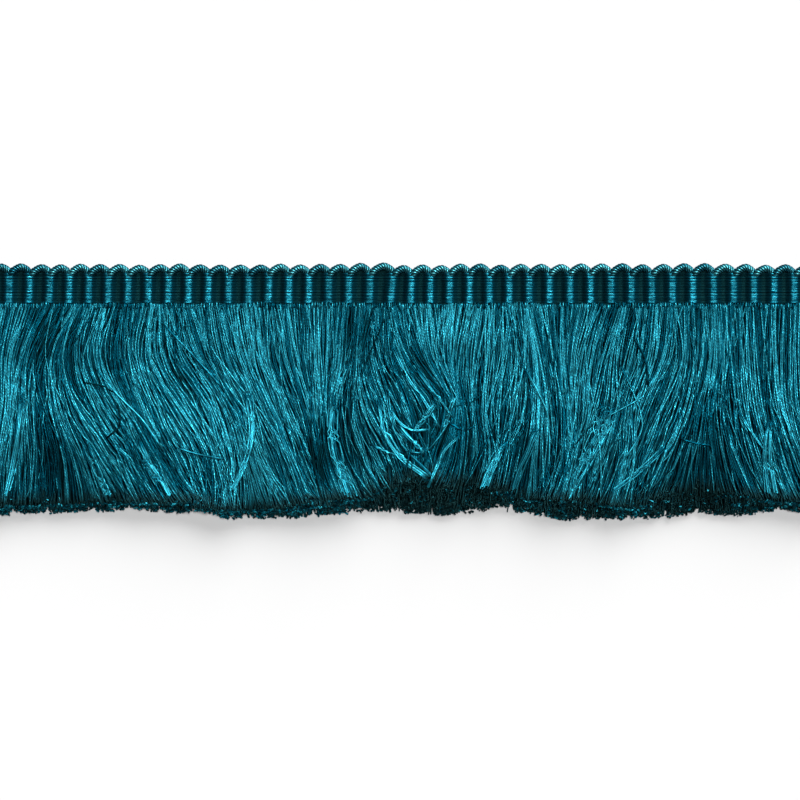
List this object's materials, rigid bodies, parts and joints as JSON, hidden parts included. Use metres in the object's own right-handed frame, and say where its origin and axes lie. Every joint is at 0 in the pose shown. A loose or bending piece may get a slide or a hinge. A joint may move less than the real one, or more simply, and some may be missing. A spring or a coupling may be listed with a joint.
{
  "type": "brush fringe trim",
  "caption": "Cut length of brush fringe trim: a narrow ribbed heading edged with looped cord, and a dense cut fringe of silky yarn swept to both sides.",
  "frame": {"origin": "on the flat back of the heading, under its middle rib, halfway up the heading and halfway along the trim", "axes": "+X along the trim, +Y from the cut fringe towards the looped edge, +Z out of the side that shows"},
  "size_m": [0.1747, 0.0505, 0.0057],
  "materials": {
    "woven_heading": "silky warp-faced weave in deep teal, bright on the crests of the ribs",
    "gimp_cord": "silky thread wrapped round a cord in deep teal",
    "cut_yarn": "lustrous fine yarn in teal, cut ends dark"
  },
  "bodies": {
    "root": {"heading": "woven_heading", "scallop_cord": "gimp_cord", "fringe": "cut_yarn"}
  },
  "joints": []
}
